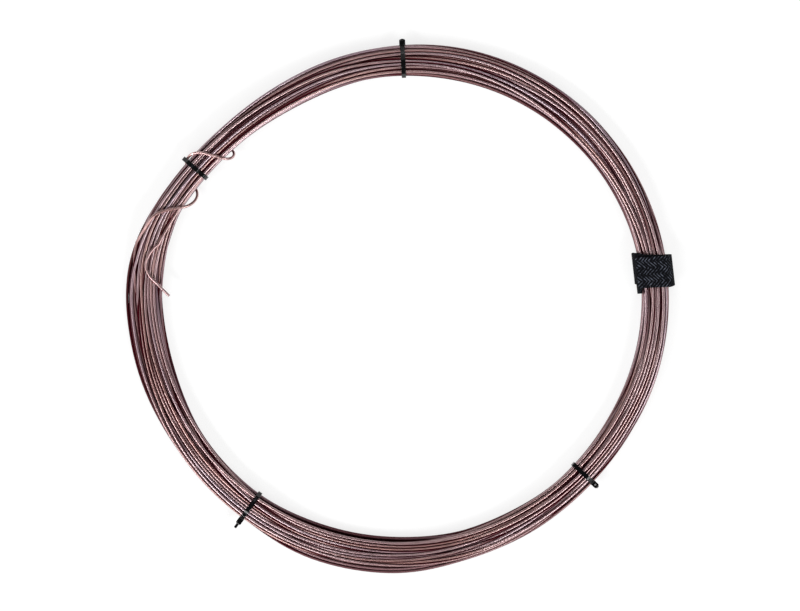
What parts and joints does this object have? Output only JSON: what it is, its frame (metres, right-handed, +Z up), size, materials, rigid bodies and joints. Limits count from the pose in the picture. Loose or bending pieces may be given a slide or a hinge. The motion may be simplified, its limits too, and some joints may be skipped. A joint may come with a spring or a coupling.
{
  "type": "coil of enamelled copper wire",
  "caption": "Ring-shaped coil of round enamelled copper wire, bound with cable ties and a hook-and-loop strap, with one wire end wrapped round the bundle and one left free.",
  "frame": {"origin": "middle of the coil's eye, on the surface that the coil lies on", "axes": "+Z up through the coil's eye; +X across the ring towards the strap; +Y across the ring towards the top cable tie"},
  "size_m": [0.342, 0.3323, 0.0134],
  "materials": {
    "enamelled_copper": "glossy enamel over copper",
    "tie_nylon": "satin moulded nylon",
    "strap_fabric": "woven, matte"
  },
  "bodies": {
    "root": {"wound_turns": "enamelled_copper", "free_end": "enamelled_copper", "wrapped_end": "enamelled_copper", "cable_tie_top": "tie_nylon", "cable_tie_upper_left": "tie_nylon", "cable_tie_lower_left": "tie_nylon", "cable_tie_lower_right": "tie_nylon", "strap": "strap_fabric"}
  },
  "joints": []
}
